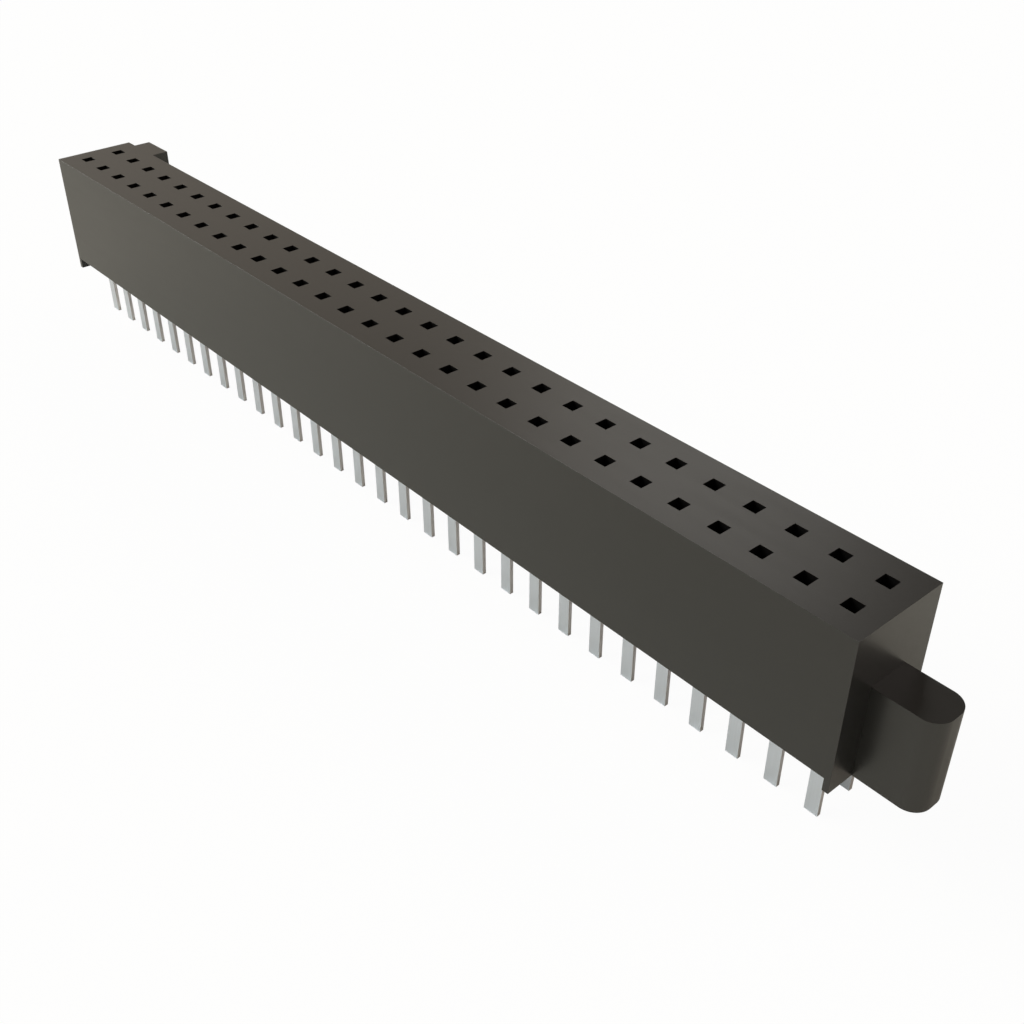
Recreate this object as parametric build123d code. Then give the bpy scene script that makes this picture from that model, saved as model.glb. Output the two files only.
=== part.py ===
from build123d import *
import os

# A socket strip for a printed circuit board: one moulded housing holding two rows
# of stamped spring contacts, whose flat tails solder into the board.
# Lengths are in millimetres. The origin is on the board's surface at the middle of
# the contact grid; +X runs along the rows to the end with the tab, +Y to the side
# with the key block, and +Z up to the face that takes the mating pins.

# Contact grid
positions = 30
pitch = 1.27
row_spacing = 1.27

# Housing
end_margin = 0.8255  # from the last contact's centre to the end face
housing_width = 3.048
seat_to_mating_face = 4.572
standoff = 0.381  # air gap between the housing's underside and the board
foot_thickness = 0.178

# Socket cavities, one for each contact
window_side = 0.4064
roof_thickness = 0.51
cavity_length = 0.62
cavity_width = 0.86

# Tab on the end face, standing on the board
tab_width = 1.27
tab_reach = 1.78
tab_height = 2.77
tab_corner_radius = 0.508

# Key block on the back face, flush with the mating face
key_inset = 0.508  # from the end face without a tab
key_width = 1.524
key_reach = 0.635

# Spring contact, stamped and formed from thin strip
strip_thickness = 0.127
tail_width = 0.4064
tail_below_board = 1.905  # from the board's upper surface to the tail's tip
plate_clearance = 0.03  # plate edge to cavity wall, closed by the barbs
plate_height = 0.95
barb_ledge_height = 0.3  # from the plate's lower edge up to the barb's ledge
barb_land = 0.1  # height of the flat of the barb that bears on the wall
barb_taper = 0.2
beam_width = 0.22
beam_slit = 0.06  # between the two beams of one contact
belly_rise = 0.5  # from the plate's upper edge to the widest point of the beams
belly_offset = 0.29  # strip centre to row centre at the widest point
contact_gap = 0.28  # between the beams at rest, where they grip the mating pin
contact_depth = 1.27  # from the mating face down to the grip
tip_clearance = 0.08  # under the cavity's roof
tip_offset = 0.29

# Sizes that follow from those above
housing_length = (positions - 1) * pitch + 2 * end_margin
cavity_roof = seat_to_mating_face - roof_thickness
plate_width = cavity_length - 2 * plate_clearance
plate_top = standoff + plate_height
row_y = row_spacing / 2


def contact_sites(count, rows):
    """Places of the contacts, on the grid that housing and contacts share."""
    return GridLocations(pitch, row_spacing, count, rows)


def housing():
    """The moulded body: a long block with a foot at each end, tab and key block."""
    block = Pos(0, 0, standoff) * Box(
        housing_length,
        housing_width,
        seat_to_mating_face - standoff,
        align=(Align.CENTER, Align.CENTER, Align.MIN),
    )
    foot = Pos(housing_length / 2, 0, 0) * Box(
        foot_thickness,
        housing_width,
        standoff,
        align=(Align.MAX, Align.CENTER, Align.MIN),
    )
    body = block + foot + mirror(foot, about=Plane.YZ) + end_tab() + key_block()
    window = Rectangle(window_side, window_side)
    cavity = Rectangle(cavity_length, cavity_width)
    windows = Sketch() + contact_sites(positions, 2) * window
    cavities = Sketch() + contact_sites(positions, 2) * cavity
    body -= Pos(0, 0, cavity_roof) * extrude(windows, amount=roof_thickness)
    body -= Pos(0, 0, standoff) * extrude(cavities, amount=cavity_roof - standoff)
    return body


def end_tab():
    """Tab with two rounded corners, standing out of the end face down to the board."""
    end_face = housing_length / 2
    outline = Pos(end_face, 0) * Rectangle(
        tab_reach, tab_width, align=(Align.MIN, Align.CENTER)
    )
    outer_corners = outline.vertices().group_by(Axis.X)[-1]
    return extrude(fillet(outer_corners, tab_corner_radius), amount=tab_height)


def key_block():
    """Block on the back face, as tall as the housing's wall."""
    corner_x = key_inset - housing_length / 2
    return Pos(corner_x, housing_width / 2, standoff) * Box(
        key_width,
        key_reach,
        seat_to_mating_face - standoff,
        align=(Align.MIN, Align.MIN, Align.MIN),
    )


def contact_plate():
    """Flat of the contact across its row: tail, shoulders and barbed plate."""
    ledge = standoff + barb_ledge_height
    right_edge = [
        (0, -tail_below_board),
        (tail_width / 2, -tail_below_board),
        (tail_width / 2, standoff),
        (plate_width / 2, standoff),
        (plate_width / 2, ledge),
        (cavity_length / 2, ledge),
        (cavity_length / 2, ledge + barb_land),
        (plate_width / 2, ledge + barb_land + barb_taper),
        (plate_width / 2, plate_top),
        (0, plate_top),
    ]
    half = make_face(Polyline(*right_edge, close=True))
    outline = Plane.XZ * (half + mirror(half, about=Plane.YZ))
    return extrude(outline, amount=strip_thickness / 2, both=True)


def contact_beam():
    """One spring beam: out from the plate, in to the grip and out again at its tip."""
    grip_offset = (contact_gap + strip_thickness) / 2
    centre_line = Polyline(
        (0, plate_top - strip_thickness),
        (0, plate_top),
        (-belly_offset, plate_top + belly_rise),
        (-grip_offset, seat_to_mating_face - contact_depth),
        (-tip_offset, cavity_roof - tip_clearance),
    )
    profile = Plane.YZ * trace(centre_line, strip_thickness)
    return Pos(-beam_slit / 2, 0, 0) * extrude(profile, amount=-beam_width)


def contact():
    """A whole contact on the row's centre line, its two beams facing each other."""
    beam = contact_beam()
    return contact_plate() + beam + Rot(0, 0, 180) * beam


os.makedirs("parts", exist_ok=True)
export_step(housing(), "parts/housing.step")

spring = contact()
for number, site in enumerate(contact_sites(positions, 1), start=1):
    front = site * Pos(0, -row_y, 0) * spring
    back = site * Pos(0, row_y, 0) * spring
    pair = Compound(children=[front, back])
    export_step(pair, f"parts/contact_pair_{number:02d}.step")
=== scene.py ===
import math

import bmesh
import bpy
from mathutils import Matrix, Vector


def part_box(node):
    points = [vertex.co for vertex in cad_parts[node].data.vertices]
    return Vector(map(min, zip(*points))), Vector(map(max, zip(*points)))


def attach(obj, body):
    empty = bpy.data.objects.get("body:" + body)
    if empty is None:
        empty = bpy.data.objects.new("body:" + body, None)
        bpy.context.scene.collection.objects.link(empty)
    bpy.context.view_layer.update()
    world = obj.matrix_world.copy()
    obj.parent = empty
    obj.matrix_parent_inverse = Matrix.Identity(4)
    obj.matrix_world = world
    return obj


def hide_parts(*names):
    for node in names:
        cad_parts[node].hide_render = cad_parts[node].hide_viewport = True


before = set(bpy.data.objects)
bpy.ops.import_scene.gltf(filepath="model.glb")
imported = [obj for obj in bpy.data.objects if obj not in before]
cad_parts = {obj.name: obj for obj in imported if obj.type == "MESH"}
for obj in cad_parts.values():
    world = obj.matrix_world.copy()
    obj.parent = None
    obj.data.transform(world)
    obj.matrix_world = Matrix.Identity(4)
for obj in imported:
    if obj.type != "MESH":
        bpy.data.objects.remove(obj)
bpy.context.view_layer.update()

# Housing: one long moulding of black liquid-crystal polymer filled with glass fibre, which
# keeps its shape at soldering heat. Its two feet, the end tab and the key block come out of
# the same mould, and its edges are only as round as the mould's own corners.
MM = 0.001
housing_low, housing_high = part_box("housing")
end_face = -housing_low.x
side_face = -housing_low.y
mating_face = housing_high.z
standoff = 0.381 * MM
foot_thickness = 0.178 * MM
tab_half_width = 0.635 * MM
tab_top = 2.77 * MM
tab_corner_radius = 0.508 * MM
tab_corner_steps = 16
key_start = housing_low.x + 0.508 * MM
key_end = key_start + 1.524 * MM
weld_depth = 0.08 * MM  # how far tab and key block reach into the body before they join it
moulded_edge_radius = 0.004 * MM
rounded_angle = math.radians(40)  # an edge that turns by more than this is rounded

contact_nodes = sorted(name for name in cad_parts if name.startswith("contact_pair"))
first_contact_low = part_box(contact_nodes[0])[0]
last_contact_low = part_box(contact_nodes[-1])[0]
contact_grid = {
    "Positions": len(contact_nodes),
    "Rows": 2,
    "Grid length": last_contact_low.x - first_contact_low.x,
    "Row spacing": 1.27 * MM,
}
contact_grid_inputs = {
    "Positions": "NodeSocketInt",
    "Rows": "NodeSocketInt",
    "Grid length": "NodeSocketFloat",
    "Row spacing": "NodeSocketFloat",
}

window_side = 0.4064 * MM
roof_thickness = 0.51 * MM
cavity_length = 0.62 * MM
cavity_width = 0.86 * MM
cavity_roof = mating_face - roof_thickness


def linear(code):
    """An sRGB hex colour as linear red, green, blue and an alpha of 1."""
    parts = [int(code[start : start + 2], 16) / 255 for start in (1, 3, 5)]
    light = [
        part / 12.92 if part <= 0.04045 else ((part + 0.055) / 1.055) ** 2.4
        for part in parts
    ]
    return (*light, 1.0)


def new_material(name):
    """A material with an empty node tree, and that tree."""
    material = bpy.data.materials.new(name)
    material.use_nodes = True
    material.node_tree.nodes.clear()
    return material, material.node_tree


def add_node(tree, kind, settings=None, inputs=None):
    """Adds a node with its properties, and gives its inputs their values or links."""
    node = tree.nodes.new(kind)
    for name, value in (settings or {}).items():
        setattr(node, name, value)
    for name, value in (inputs or {}).items():
        socket = node.inputs[name]
        if isinstance(value, bpy.types.NodeSocket):
            tree.links.new(value, socket)
        else:
            socket.default_value = value
    return node


# Moulded polymer from a spark-eroded mould: a satin black with the sheen of plastic, and
# faint streaks along the strip where the glass fibres lay down in the flow.
polymer_dark = linear("#0c0b0b")
polymer_streak = linear("#121111")
polymer_ior = 1.63
polymer_roughness = (0.305, 0.325)
streak_length = 2.5 * MM
streak_width = 0.25 * MM
grain_width = 0.07 * MM  # the real grit is near 0.02 mm, too fine to show
grain_height = 0.0006 * MM
noise_span = (0.3, 0.7)  # nearly all values of a noise lie between these
# Sockets of a Mix node that mixes colours, by number because other sockets share their names
mix_share = 0
mix_first = 6
mix_second = 7
mix_result = 2

polymer, tree = new_material("black_polymer_spark_eroded")
place = add_node(tree, "ShaderNodeTexCoord").outputs["Object"]
along_flow = add_node(
    tree,
    "ShaderNodeMapping",
    inputs={
        "Vector": place,
        "Scale": (1 / streak_length, 1 / streak_width, 1 / streak_width),
    },
)
streaks = add_node(
    tree,
    "ShaderNodeTexNoise",
    inputs={"Vector": along_flow.outputs["Vector"], "Scale": 1.0, "Detail": 3.0},
)
grain = add_node(
    tree,
    "ShaderNodeTexNoise",
    inputs={"Vector": place, "Scale": 1 / grain_width, "Detail": 2.0},
)
colour = add_node(
    tree,
    "ShaderNodeMix",
    {"data_type": "RGBA"},
    {mix_share: streaks.outputs[0], mix_first: polymer_dark, mix_second: polymer_streak},
)
roughness = add_node(
    tree,
    "ShaderNodeMapRange",
    inputs={
        "Value": streaks.outputs[0],
        "From Min": noise_span[0],
        "From Max": noise_span[1],
        "To Min": polymer_roughness[0],
        "To Max": polymer_roughness[1],
    },
)
grit = add_node(
    tree,
    "ShaderNodeBump",
    inputs={"Strength": 1.0, "Distance": grain_height, "Height": grain.outputs[0]},
)
shader = add_node(
    tree,
    "ShaderNodeBsdfPrincipled",
    inputs={
        "Base Color": colour.outputs[mix_result],
        "Roughness": roughness.outputs["Result"],
        "IOR": polymer_ior,
        "Normal": grit.outputs["Normal"],
    },
)
add_node(tree, "ShaderNodeOutputMaterial", inputs={"Surface": shader.outputs["BSDF"]})


def new_object(name, data):
    """An object in the scene, at the origin."""
    item = bpy.data.objects.new(name, data)
    bpy.context.scene.collection.objects.link(item)
    return item


def extruded(name, outline, travel, finish):
    """A closed solid: a flat outline of points, extruded along a vector."""
    shape = bmesh.new()
    face = shape.faces.new([shape.verts.new(point) for point in outline])
    grown = bmesh.ops.extrude_face_region(shape, geom=[face])
    far_side = [item for item in grown["geom"] if isinstance(item, bmesh.types.BMVert)]
    bmesh.ops.translate(shape, verts=far_side, vec=travel)
    bmesh.ops.recalc_face_normals(shape, faces=shape.faces)
    mesh = bpy.data.meshes.new(name)
    shape.to_mesh(mesh)
    shape.free()
    mesh.materials.append(finish)
    return new_object(name, mesh)


body_outline = [
    (housing_low.x, -side_face, 0),
    (housing_low.x + foot_thickness, -side_face, 0),
    (housing_low.x + foot_thickness, -side_face, standoff),
    (end_face - foot_thickness, -side_face, standoff),
    (end_face - foot_thickness, -side_face, 0),
    (end_face, -side_face, 0),
    (end_face, -side_face, mating_face),
    (housing_low.x, -side_face, mating_face),
]
body = extruded("body", body_outline, (0, 2 * side_face, 0), polymer)

key_root = side_face - weld_depth
key_outline = [
    (key_start, key_root, standoff),
    (key_end, key_root, standoff),
    (key_end, key_root, mating_face),
    (key_start, key_root, mating_face),
]
key_block = extruded("key block", key_outline, (0, housing_high.y - key_root, 0), polymer)

corner_x = housing_high.x - tab_corner_radius
corner_y = tab_half_width - tab_corner_radius
tab_half = []
for step in range(tab_corner_steps + 1):
    turn = math.pi / 2 * step / tab_corner_steps
    along = corner_x + tab_corner_radius * math.cos(turn)
    across = corner_y + tab_corner_radius * math.sin(turn)
    tab_half.append((along, across, 0))
tab_half.append((end_face - weld_depth, tab_half_width, 0))
other_half = [(x, -y, z) for x, y, z in reversed(tab_half)]
end_tab = extruded("end tab", tab_half + other_half, (0, 0, tab_top), polymer)


def new_shape_tree(name, inputs):
    """A Geometry Nodes tree with named inputs, its input node's outputs, and its output."""
    tree = bpy.data.node_groups.new(name, "GeometryNodeTree")
    geometry = "NodeSocketGeometry"
    tree.interface.new_socket("Geometry", in_out="INPUT", socket_type=geometry)
    for label, kind in inputs.items():
        tree.interface.new_socket(label, in_out="INPUT", socket_type=kind)
    tree.interface.new_socket("Geometry", in_out="OUTPUT", socket_type=geometry)
    given = tree.nodes.new("NodeGroupInput").outputs
    return tree, given, tree.nodes.new("NodeGroupOutput")


def copies_on_grid(tree, given, shape):
    """Instances of a shape at the places of all contacts."""
    sites = add_node(
        tree,
        "GeometryNodeMeshGrid",
        inputs={
            "Size X": given["Grid length"],
            "Size Y": given["Row spacing"],
            "Vertices X": given["Positions"],
            "Vertices Y": given["Rows"],
        },
    )
    copies = add_node(
        tree,
        "GeometryNodeInstanceOnPoints",
        inputs={"Points": sites.outputs["Mesh"], "Instance": shape},
    )
    return copies.outputs["Instances"]


def end_shape_tree(tree, given, result, shape):
    """Ends a tree: realizes its shape and gives it its finish."""
    real = add_node(tree, "GeometryNodeRealizeInstances", inputs={"Geometry": shape})
    dressed = add_node(
        tree,
        "GeometryNodeSetMaterial",
        inputs={"Geometry": real.outputs["Geometry"], "Material": given["Finish"]},
    )
    tree.links.new(dressed.outputs["Geometry"], result.inputs["Geometry"])


# The tree joins key block and tab to the body, and takes a window and a cavity out of it at
# each contact's place. Then it marks the outer edges, which get rounded, and the inner ones,
# which stay crisp.
tree, given, result = new_shape_tree(
    "housing with sockets",
    {
        **contact_grid_inputs,
        "Key block": "NodeSocketObject",
        "End tab": "NodeSocketObject",
        "Window size": "NodeSocketVector",
        "Window centre": "NodeSocketVector",
        "Cavity size": "NodeSocketVector",
        "Cavity centre": "NodeSocketVector",
        "Rounded angle": "NodeSocketFloat",
        "Finish": "NodeSocketMaterial",
    },
)
joined = add_node(
    tree,
    "GeometryNodeMeshBoolean",
    {"operation": "UNION", "solver": "MANIFOLD"},
    {"Mesh 2": given["Geometry"]},
)
for label in ("Key block", "End tab"):
    added = add_node(tree, "GeometryNodeObjectInfo", inputs={"Object": given[label]})
    tree.links.new(added.outputs["Geometry"], joined.inputs["Mesh 2"])
hollowed = add_node(
    tree,
    "GeometryNodeMeshBoolean",
    {"operation": "DIFFERENCE", "solver": "MANIFOLD"},
    {"Mesh 1": joined.outputs["Mesh"]},
)
for label in ("Window", "Cavity"):
    core = add_node(
        tree, "GeometryNodeMeshCube", inputs={"Size": given[label + " size"]}
    )
    raised = add_node(
        tree,
        "GeometryNodeTransform",
        inputs={
            "Geometry": core.outputs["Mesh"],
            "Translation": given[label + " centre"],
        },
    )
    cores = add_node(
        tree,
        "GeometryNodeRealizeInstances",
        inputs={"Geometry": copies_on_grid(tree, given, raised.outputs["Geometry"])},
    )
    tree.links.new(cores.outputs["Geometry"], hollowed.inputs["Mesh 2"])
edge_angle = add_node(tree, "GeometryNodeInputMeshEdgeAngle")
inner_angle = add_node(
    tree, "ShaderNodeMath", {"operation": "MULTIPLY"}, {0: given["Rounded angle"], 1: -1}
)
is_outer_edge = add_node(
    tree,
    "FunctionNodeCompare",
    {"data_type": "FLOAT", "operation": "GREATER_THAN"},
    {"A": edge_angle.outputs["Signed Angle"], "B": given["Rounded angle"]},
)
is_inner_edge = add_node(
    tree,
    "FunctionNodeCompare",
    {"data_type": "FLOAT", "operation": "LESS_THAN"},
    {"A": edge_angle.outputs["Signed Angle"], "B": inner_angle.outputs[0]},
)
rounded_edges = add_node(
    tree,
    "GeometryNodeStoreNamedAttribute",
    {"data_type": "FLOAT", "domain": "EDGE"},
    {
        "Geometry": hollowed.outputs["Mesh"],
        "Name": "bevel_weight_edge",
        "Value": is_outer_edge.outputs["Result"],
    },
)
crisp_edges = add_node(
    tree,
    "GeometryNodeStoreNamedAttribute",
    {"data_type": "BOOLEAN", "domain": "EDGE"},
    {
        "Geometry": rounded_edges.outputs["Geometry"],
        "Name": "sharp_edge",
        "Value": is_inner_edge.outputs["Result"],
    },
)
smooth = add_node(
    tree,
    "GeometryNodeSetShadeSmooth",
    inputs={"Geometry": crisp_edges.outputs["Geometry"]},
)
end_shape_tree(tree, given, result, smooth.outputs["Geometry"])


def shape_with(piece, tree, values):
    """Puts a tree on a piece as a modifier and sets the tree's inputs by their names."""
    modifier = piece.modifiers.new(tree.name, "NODES")
    modifier.node_group = tree
    for item in tree.interface.items_tree:
        if item.in_out == "INPUT" and item.name in values:
            modifier[item.identifier] = values[item.name]


def round_edges(piece, radius, segments, angle=None):
    """Rounds the edges that turn by more than an angle, or without one, those a tree marked."""
    rounded = piece.modifiers.new("rounded edges", "BEVEL")
    rounded.width = radius
    rounded.segments = segments
    rounded.harden_normals = True  # the flats beside an edge keep their flat shading
    rounded.limit_method = "WEIGHT"
    if angle is not None:
        rounded.limit_method = "ANGLE"
        rounded.angle_limit = angle


def finished(name, source, helpers=()):
    """The shaped source as a plain mesh object. The source and its helpers go."""
    graph = bpy.context.evaluated_depsgraph_get()
    mesh = bpy.data.meshes.new_from_object(source.evaluated_get(graph), depsgraph=graph)
    mesh.name = name
    for used in (source, *helpers):
        bpy.data.objects.remove(used)
    return new_object(name, mesh)


# A window's core reaches from the cavity's roof to as far above the mating face. A cavity's
# core reaches from the board up to its roof.
shape_with(
    body,
    tree,
    {
        **contact_grid,
        "Key block": key_block,
        "End tab": end_tab,
        "Window size": (window_side, window_side, 2 * roof_thickness),
        "Window centre": (0, 0, mating_face),
        "Cavity size": (cavity_length, cavity_width, cavity_roof),
        "Cavity centre": (0, 0, cavity_roof / 2),
        "Rounded angle": rounded_angle,
        "Finish": polymer,
    },
)
round_edges(body, moulded_edge_radius, segments=3)
housing = finished("housing_moulding", body, helpers=(key_block, end_tab))
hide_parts("housing")
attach(housing, "root")

# Contacts: 60 springs of thin copper-alloy strip, plated with matte tin. Each is stamped as
# a flat blank, formed, and pushed up into its cavity, where its barbs bite into the walls.
# The two fingers of a contact bow to opposite sides and grip the mating pin between them.
strip_thickness = 0.127 * MM
sheared_edge_radius = 0.008 * MM
sheared_edge_angle = math.radians(60)
flats_least_y = 0.75  # the least Y of a rolled flat's normal. A sheared edge's has less.
tail_half_width = 0.2032 * MM
tail_tip = first_contact_low.z
plate_half_width = 0.28 * MM
plate_top = standoff + 0.95 * MM
barb_reach = cavity_length / 2
barb_ledge = standoff + 0.3 * MM
barb_land = 0.1 * MM
barb_taper = 0.2 * MM

# A finger leaves the plate's top, bows out to its belly, comes back to grip the pin and
# flares at its tip. Offsets are from the plate's middle to the middle of the finger's strip.
finger_inner = 0.03 * MM
finger_outer = 0.25 * MM
root_height = 0.045 * MM
root_bend_radius = 0.15 * MM
belly_offset = 0.29 * MM
belly_height = 0.5 * MM
belly_bend_radius = 0.3 * MM
grip_offset = 0.2035 * MM
grip_depth = 1.27 * MM  # under the mating face
grip_bend_radius = 1.0 * MM
tip_offset = 0.29 * MM
tip_clearance = 0.08 * MM  # under the cavity's roof
bend_steps = 5

# Matte tin, electroplated: a soft light grey metal of fine crystals, with faint lines from
# the rolling of the strip. The plating is thin on sheared edges, which look a little warmer.
tin_light = linear("#e0e7f3")
tin_shade = linear("#d9e0ec")
tin_on_edge = linear("#dfdee1")
tin_roughness = (0.32, 0.4)
rolling_line_width = 0.04 * MM
rolling_line_length = 1.6 * MM
crystal_width = 0.05 * MM  # real crystals are a few thousandths of a millimetre
crystal_height = 0.0004 * MM

tin, tree = new_material("matte_tin_electroplated")
place = add_node(tree, "ShaderNodeTexCoord").outputs["Object"]
along_strip = add_node(
    tree,
    "ShaderNodeMapping",
    inputs={
        "Vector": place,
        "Scale": (1 / rolling_line_width, 1 / rolling_line_width, 1 / rolling_line_length),
    },
)
rolling = add_node(
    tree,
    "ShaderNodeTexNoise",
    inputs={"Vector": along_strip.outputs["Vector"], "Scale": 1.0, "Detail": 2.0},
)
crystals = add_node(
    tree,
    "ShaderNodeTexNoise",
    inputs={"Vector": place, "Scale": 1 / crystal_width, "Detail": 2.0},
)
on_faces = add_node(
    tree,
    "ShaderNodeMix",
    {"data_type": "RGBA"},
    {mix_share: rolling.outputs[0], mix_first: tin_light, mix_second: tin_shade},
)
sheared = add_node(tree, "ShaderNodeAttribute", {"attribute_name": "sheared"})
colour = add_node(
    tree,
    "ShaderNodeMix",
    {"data_type": "RGBA"},
    {
        mix_share: sheared.outputs["Fac"],
        mix_first: on_faces.outputs[mix_result],
        mix_second: tin_on_edge,
    },
)
roughness = add_node(
    tree,
    "ShaderNodeMapRange",
    inputs={
        "Value": crystals.outputs[0],
        "From Min": noise_span[0],
        "From Max": noise_span[1],
        "To Min": tin_roughness[0],
        "To Max": tin_roughness[1],
    },
)
grit = add_node(
    tree,
    "ShaderNodeBump",
    inputs={"Strength": 1.0, "Distance": crystal_height, "Height": crystals.outputs[0]},
)
shader = add_node(
    tree,
    "ShaderNodeBsdfPrincipled",
    inputs={
        "Base Color": colour.outputs[mix_result],
        "Metallic": 1.0,
        "Roughness": roughness.outputs["Result"],
        "Normal": grit.outputs["Normal"],
    },
)
add_node(tree, "ShaderNodeOutputMaterial", inputs={"Surface": shader.outputs["BSDF"]})


def bent_line(points, radii):
    """A line of points in a plane, each of its corners bent to an arc."""
    line = [points[0]]
    for before, corner, after, radius in zip(points, points[1:], points[2:], radii):
        arriving = (corner - before).normalized()
        leaving = (after - corner).normalized()
        sine = arriving.x * leaving.y - arriving.y * leaving.x
        turn = math.copysign(arriving.angle(leaving), sine)
        start = corner - arriving * radius * math.tan(abs(turn) / 2)
        inward = Vector((-arriving.y, arriving.x)) * math.copysign(radius, turn)
        for step in range(bend_steps + 1):
            swung = Matrix.Rotation(turn * step / bend_steps, 2) @ -inward
            line.append(start + inward + swung)
    line.append(points[-1])
    return line


# The blank's right edge goes from the tail's tip up to the plate's top. Each finger then
# grows from the last two points of its side.
right_edge = [
    (tail_half_width, tail_tip),
    (tail_half_width, standoff),
    (plate_half_width, standoff),
    (plate_half_width, barb_ledge),
    (barb_reach, barb_ledge),
    (barb_reach, barb_ledge + barb_land),
    (plate_half_width, barb_ledge + barb_land + barb_taper),
    (plate_half_width, plate_top),
    (finger_outer, plate_top),
    (finger_inner, plate_top),
]
finger_corners = [
    Vector((0, plate_top)),
    Vector((0, plate_top + root_height)),
    Vector((belly_offset, plate_top + belly_height)),
    Vector((grip_offset, mating_face - grip_depth)),
    Vector((tip_offset, cavity_roof - tip_clearance)),
]
finger_line = bent_line(
    finger_corners, [root_bend_radius, belly_bend_radius, grip_bend_radius]
)
blank = bmesh.new()
right = [blank.verts.new((x, 0, z)) for x, z in right_edge]
left = [blank.verts.new((-x, 0, z)) for x, z in right_edge]
blank.faces.new(right + left[::-1])
for side, (outer, inner) in ((1, right[-2:]), (-1, left[-2:])):
    for out, up in finger_line[1:]:
        next_outer = blank.verts.new((side * finger_outer, side * out, up))
        next_inner = blank.verts.new((side * finger_inner, side * out, up))
        blank.faces.new((outer, next_outer, next_inner, inner))
        outer, inner = next_outer, next_inner
bmesh.ops.recalc_face_normals(blank, faces=blank.faces)
for face in blank.faces:
    face.smooth = True
spring_mesh = bpy.data.meshes.new("formed spring")
blank.to_mesh(spring_mesh)
blank.free()
spring_mesh.materials.append(tin)
spring = new_object("formed spring", spring_mesh)
thickened = spring.modifiers.new("strip thickness", "SOLIDIFY")
thickened.thickness = strip_thickness
thickened.offset = 0
thickened.use_even_offset = True
round_edges(spring, sheared_edge_radius, segments=2, angle=sheared_edge_angle)

# The tree marks a spring's sheared edges for their finish, and puts a copy of it at each
# contact's place.
tree, given, result = new_shape_tree(
    "two rows of contacts",
    {
        **contact_grid_inputs,
        "Least Y of flats": "NodeSocketFloat",
        "Finish": "NodeSocketMaterial",
    },
)
normal = add_node(tree, "GeometryNodeInputNormal")
across = add_node(tree, "ShaderNodeSeparateXYZ", inputs={0: normal.outputs[0]})
across_size = add_node(
    tree, "ShaderNodeMath", {"operation": "ABSOLUTE"}, {0: across.outputs["Y"]}
)
is_edge = add_node(
    tree,
    "ShaderNodeMath",
    {"operation": "LESS_THAN"},
    {0: across_size.outputs[0], 1: given["Least Y of flats"]},
)
marked = add_node(
    tree,
    "GeometryNodeStoreNamedAttribute",
    {"data_type": "FLOAT", "domain": "FACE"},
    {"Geometry": given["Geometry"], "Name": "sheared", "Value": is_edge.outputs[0]},
)
placed = copies_on_grid(tree, given, marked.outputs["Geometry"])
end_shape_tree(tree, given, result, placed)

shape_with(
    spring, tree, {**contact_grid, "Least Y of flats": flats_least_y, "Finish": tin}
)
contacts = finished("spring_contacts", spring)
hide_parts(*contact_nodes)
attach(contacts, "root")

# Floor: white matte paper, which the strip stands on by the tips of its tails. The camera
# sees it nearly as pure white, so that the strip's shadow on it stays, but faint. Plastic
# and tin mirror a little of that white too.
floor_reach = 0.6  # metres
paper_white = linear("#f7f3ea")
paper_white_to_camera = 0.96
white_in_reflections = 0.03


def white_share(tree, to_camera):
    """The share of pure white that the camera sees in place of a surface's own light."""
    rays = add_node(tree, "ShaderNodeLightPath").outputs
    mirrored = add_node(
        tree,
        "ShaderNodeMath",
        {"operation": "ADD"},
        {0: rays["Is Glossy Ray"], 1: rays["Is Transmission Ray"]},
    )
    mirrored_share = add_node(
        tree,
        "ShaderNodeMath",
        {"operation": "MULTIPLY"},
        {0: mirrored.outputs[0], 1: white_in_reflections},
    )
    share = add_node(
        tree,
        "ShaderNodeMath",
        {"operation": "MULTIPLY_ADD"},
        {0: rays["Is Camera Ray"], 1: to_camera, 2: mirrored_share.outputs[0]},
    )
    return share.outputs[0]


paper, tree = new_material("white_matte_paper")
lit = add_node(tree, "ShaderNodeBsdfDiffuse", inputs={"Color": paper_white})
white = add_node(tree, "ShaderNodeEmission", inputs={"Color": (1, 1, 1, 1), "Strength": 1})
floor_look = add_node(
    tree,
    "ShaderNodeMixShader",
    inputs={
        0: white_share(tree, paper_white_to_camera),
        1: lit.outputs[0],
        2: white.outputs[0],
    },
)
add_node(tree, "ShaderNodeOutputMaterial", inputs={"Surface": floor_look.outputs[0]})

floor_corners = [
    (-floor_reach, -floor_reach, tail_tip),
    (floor_reach, -floor_reach, tail_tip),
    (floor_reach, floor_reach, tail_tip),
    (-floor_reach, floor_reach, tail_tip),
]
floor_mesh = bpy.data.meshes.new("floor")
floor_mesh.from_pydata(floor_corners, [], [range(len(floor_corners))])
floor_mesh.materials.append(paper)
floor = new_object("floor", floor_mesh)

# Camera: the photograph's viewpoint, to the right of the strip's front and above it. Its
# place, its direction and its lens were fitted to the grid of openings.
camera_place = Vector((29.535, -19.970, 21.784)) * MM
camera_azimuth = 49.11  # degrees, as is the elevation
camera_elevation = 35.02
focal_length = 44.30  # millimetres, as is the sensor's width
sensor_width = 36


def direction(azimuth, elevation):
    """The unit vector towards an azimuth, from -Y round to +X, and an elevation, in degrees."""
    around = math.radians(azimuth)
    above = math.radians(elevation)
    level = math.cos(above)
    return Vector((math.sin(around) * level, -math.cos(around) * level, math.sin(above)))


def set_up(name, data, place, backwards):
    """A camera or lamp at a place, with its back to a direction."""
    item = new_object(name, data)
    item.location = place
    item.rotation_mode = "QUATERNION"
    item.rotation_quaternion = backwards.to_track_quat("Z", "Y")
    return item


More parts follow.
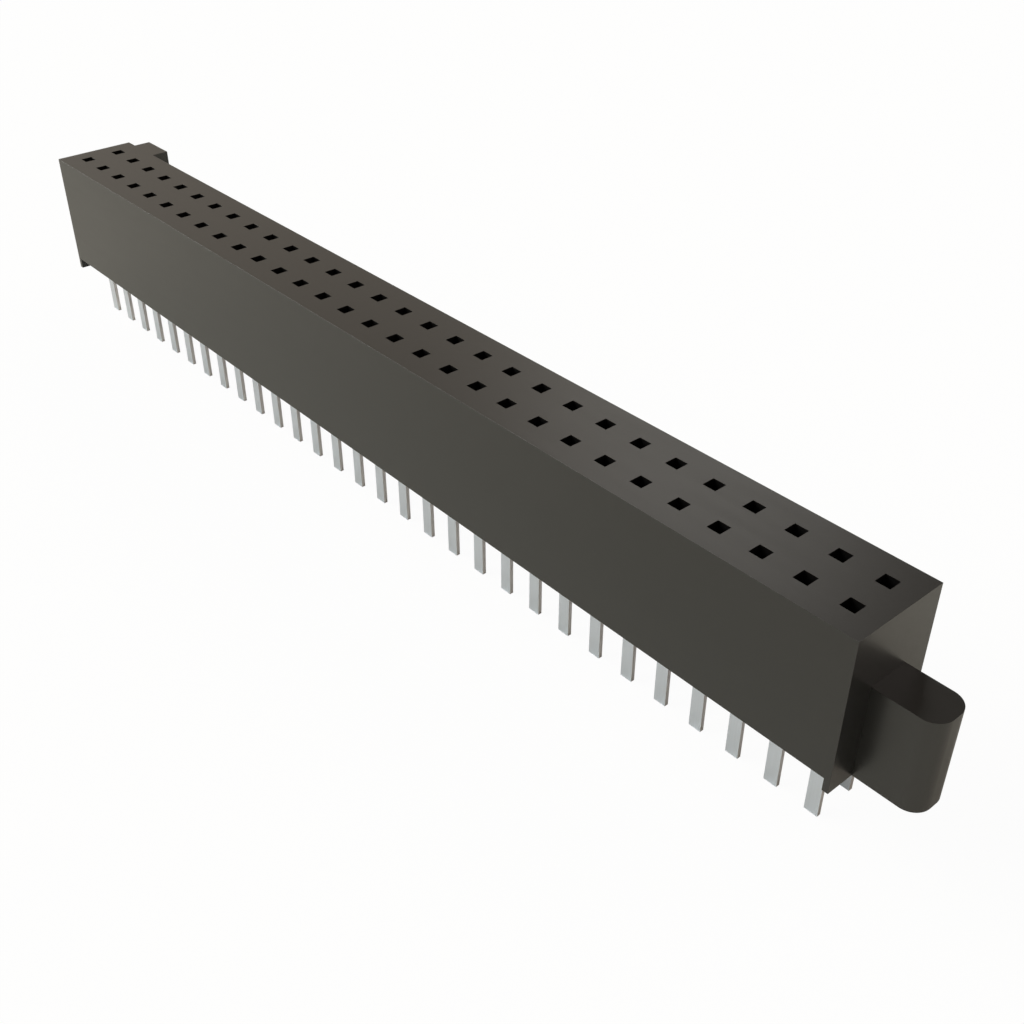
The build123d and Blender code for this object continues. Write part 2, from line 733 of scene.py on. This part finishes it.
lens = bpy.data.cameras.new("camera")
lens.lens = focal_length
lens.sensor_width = sensor_width
lens.clip_start = 1 * MM
camera_back = direction(camera_azimuth, camera_elevation)
camera = set_up("camera", lens, camera_place, camera_back)
bpy.context.scene.camera = camera

# Light: a studio with dim, slightly warm walls and a dark ceiling, all pure white to the
# camera. A wide soft box at the front left lights the strip. Weaker ones at the left and
# behind draw bright bands on the mating face, and one behind the tab lights its upper face.
wall = linear("#776f64")
ceiling = linear("#1e1b19")
ceiling_starts = 45  # degrees of elevation, as is the next
ceiling_is_whole = 75

world = bpy.data.worlds.new("dim warm studio")
world.use_nodes = True
tree = world.node_tree
tree.nodes.clear()
ray = add_node(tree, "ShaderNodeTexCoord").outputs["Generated"]
ray_parts = add_node(tree, "ShaderNodeSeparateXYZ", inputs={0: ray})
height = add_node(
    tree,
    "ShaderNodeMapRange",
    {"interpolation_type": "SMOOTHSTEP"},
    {
        "Value": ray_parts.outputs["Z"],
        "From Min": math.sin(math.radians(ceiling_starts)),
        "From Max": math.sin(math.radians(ceiling_is_whole)),
    },
)
room = add_node(
    tree,
    "ShaderNodeMix",
    {"data_type": "RGBA"},
    {mix_share: height.outputs["Result"], mix_first: wall, mix_second: ceiling},
)
dim = add_node(tree, "ShaderNodeBackground", inputs={"Color": room.outputs[mix_result]})
white = add_node(tree, "ShaderNodeBackground", inputs={"Color": (1, 1, 1, 1)})
room_look = add_node(
    tree,
    "ShaderNodeMixShader",
    inputs={0: white_share(tree, 1), 1: dim.outputs[0], 2: white.outputs[0]},
)
add_node(tree, "ShaderNodeOutputWorld", inputs={"Surface": room_look.outputs[0]})
bpy.context.scene.world = world


def soft_box(name, azimuth, elevation, distance, width, height, radiance):
    """A rectangular soft light of a given radiance, facing the strip. Sizes in metres."""
    light = bpy.data.lights.new(name, "AREA")
    light.shape = "RECTANGLE"
    light.size = width
    light.size_y = height
    strongest = max(radiance)
    light.color = [part / strongest for part in radiance]
    light.energy = strongest * math.pi * width * height  # watts
    toward = direction(azimuth, elevation)
    box = set_up(name, light, toward * distance, toward)
    box.visible_camera = False


soft_box(
    "wide soft box",
    azimuth=-63,
    elevation=34,
    distance=2.4,
    width=2.88,
    height=1.2,
    radiance=(6.7, 6.9, 6.6),
)
soft_box(
    "left soft box",
    azimuth=-121,
    elevation=22,
    distance=0.8,
    width=0.43,
    height=0.34,
    radiance=(0.4, 0.35, 0.29),
)
soft_box(
    "back soft box",
    azimuth=-142,
    elevation=35,
    distance=0.8,
    width=0.22,
    height=0.2,
    radiance=(1.7, 1.65, 1.55),
)
soft_box(
    "tab soft box",
    azimuth=155,
    elevation=41,
    distance=0.8,
    width=0.34,
    height=0.34,
    radiance=(2.3, 2.05, 1.85),
)
bpy.context.scene.view_settings.view_transform = "Standard"
